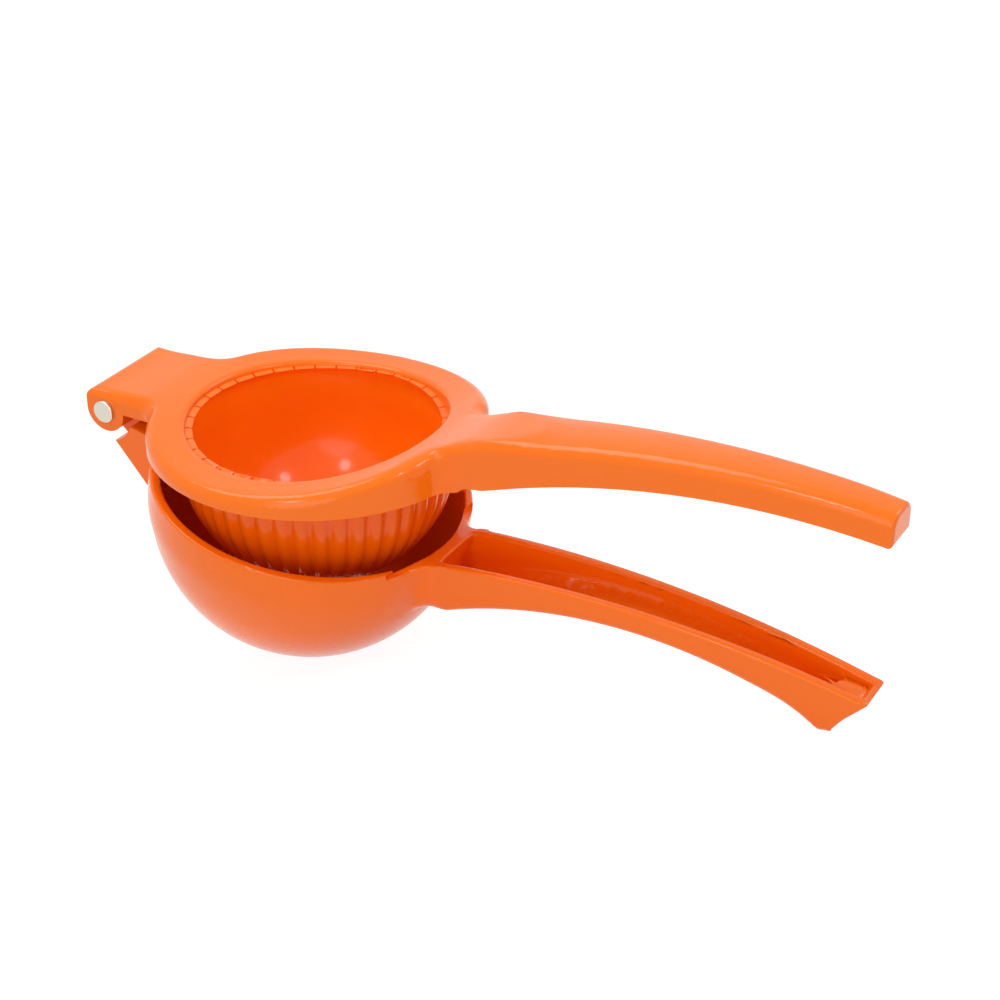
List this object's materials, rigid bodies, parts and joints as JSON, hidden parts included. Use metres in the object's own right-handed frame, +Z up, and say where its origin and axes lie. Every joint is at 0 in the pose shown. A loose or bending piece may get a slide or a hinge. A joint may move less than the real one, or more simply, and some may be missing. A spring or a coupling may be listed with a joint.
{
  "type": "citrus squeezer",
  "caption": "Hinged hand press for citrus: a fluted press cup on one lever drives into a perforated strainer cup on the other.",
  "frame": {"origin": "centre of the object's footprint box, on the table it stands on, as pictured and slightly open", "axes": "+Z up, +X from the hinge towards the ends of the handles, Y along the hinge pin"},
  "size_m": [0.244, 0.0972, 0.0824],
  "materials": {
    "strainer_enamel": "glossy orange enamel on cast aluminium",
    "press_enamel": "glossy orange enamel on cast aluminium",
    "rivet_steel": "satin"
  },
  "bodies": {
    "strainer": {"strainer_lever": "strainer_enamel"},
    "press": {"press_lever": "press_enamel", "hinge_pin": "rivet_steel"}
  },
  "joints": [
    {"name": "lever_hinge", "type": "hinge", "parent": "strainer", "child": "press", "pos_m": [-0.11553, 0, 0.07569], "axis": [0, -1, 0], "range_deg": [-11, 130]}
  ]
}
